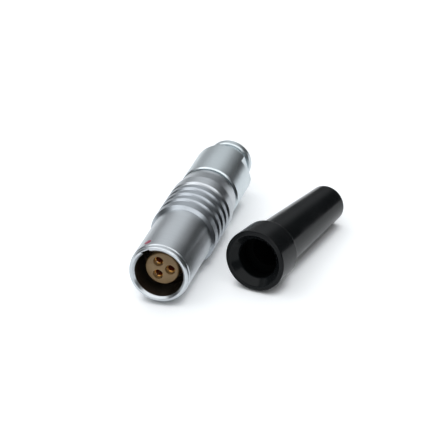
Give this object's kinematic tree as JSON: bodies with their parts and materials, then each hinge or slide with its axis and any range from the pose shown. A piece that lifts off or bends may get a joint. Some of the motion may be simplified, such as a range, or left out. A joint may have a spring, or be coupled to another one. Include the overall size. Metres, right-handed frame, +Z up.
{
  "type": "push pull circular connector",
  "caption": "Keyed round metal socket with a ribbed grip, gilt contacts in a tan insert, a collet nut that unscrews behind, and its rubber bend relief taken off beside it.",
  "frame": {"origin": "on the mating axis, in the plane of the socket's rim", "axes": "-Y along the mating axis, out of the socket's mouth towards the plug; +Y towards the cable; +Z up as the socket lies on its grip"},
  "size_m": [0.0314, 0.0489, 0.0124],
  "materials": {
    "satin_chrome": "satin nickel and chrome plate over turned brass",
    "red_enamel": "gloss enamel",
    "spring_bronze": "nickel plated bronze spring",
    "plated_brass": "plain nickel plate",
    "tan_insulator": "natural high temperature plastic",
    "gilt": "gold plate over turned brass",
    "black_rubber": "satin moulded rubber"
  },
  "bodies": {
    "socket": {"shell": "satin_chrome", "alignment_dot": "red_enamel", "earthing_crown": "spring_bronze", "retaining_ring": "plated_brass", "carrier_left": "plated_brass", "carrier_right": "plated_brass", "insulator_front": "tan_insulator", "insulator_rear": "tan_insulator", "contact_1": "gilt", "contact_2": "gilt", "contact_3": "gilt", "clip_1": "spring_bronze", "clip_2": "spring_bronze", "clip_3": "spring_bronze", "bend_relief": "black_rubber"},
    "collet": {"collet": "plated_brass", "shield_cone": "plated_brass"},
    "nut": {"collet_nut": "satin_chrome"}
  },
  "joints": [
    {"name": "collet_travel", "type": "slide", "parent": "socket", "child": "collet", "axis": [0, 1, 0], "range_m": [0, 0.005]},
    {"name": "nut_turn", "type": "hinge", "parent": "collet", "child": "nut", "pos_m": [0, 0.038, 0], "axis": [0, 1, 0], "range_deg": [0, 3600]}
  ],
  "couplings": [
    {"joint": "nut_turn", "follows": "collet_travel", "rad_per_m": 12566}
  ]
}
